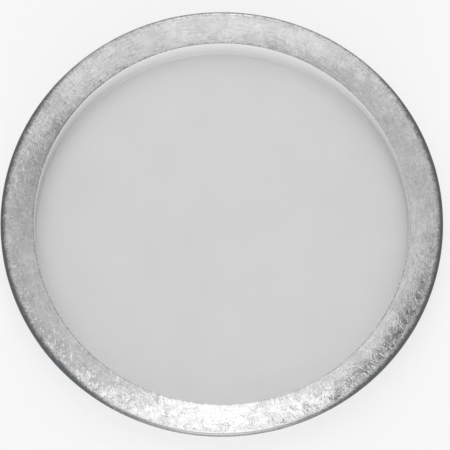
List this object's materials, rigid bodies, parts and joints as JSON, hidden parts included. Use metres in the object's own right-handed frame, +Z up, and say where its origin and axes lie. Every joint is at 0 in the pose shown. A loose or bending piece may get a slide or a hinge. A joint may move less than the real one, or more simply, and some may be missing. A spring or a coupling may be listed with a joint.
{
  "type": "charger plate",
  "caption": "Round charger plate with a wide silver-leaf rim, a flat pale lacquered well with an upright wall, and a foot ring on felt feet.",
  "frame": {"origin": "middle of the plate on the surface that it stands on, at the underside of the felt feet", "axes": "+Z up along the plate's axis, out of the well; +X and +Y are any two square directions, as the plate is round"},
  "size_m": [0.33, 0.33, 0.03],
  "materials": {
    "core_board": "bare pressed fibreboard, hidden under the coats",
    "foot_lacquer": "lacquered pale grey, satin",
    "well_lacquer": "pale grey lacquer, fine satin with a soft mottle",
    "underside_lacquer": "pale grey lacquer, satin",
    "undercoat": "dark grey undercoat, matte",
    "silver_leaf": "silver leaf burnished in all directions, fine scratches, sealed",
    "felt": "grey wool felt"
  },
  "bodies": {
    "root": {"base_disc": "core_board", "rim_ring": "core_board", "foot_ring": "foot_lacquer", "well_lacquer": "well_lacquer", "underside_lacquer": "underside_lacquer", "rim_undercoat": "undercoat", "rim_leaf_1": "silver_leaf", "rim_leaf_2": "silver_leaf", "rim_leaf_3": "silver_leaf", "rim_leaf_4": "silver_leaf", "rim_leaf_5": "silver_leaf", "rim_leaf_6": "silver_leaf", "rim_leaf_7": "silver_leaf", "rim_leaf_8": "silver_leaf", "felt_foot_1": "felt", "felt_foot_2": "felt", "felt_foot_3": "felt", "felt_foot_4": "felt"}
  },
  "joints": []
}
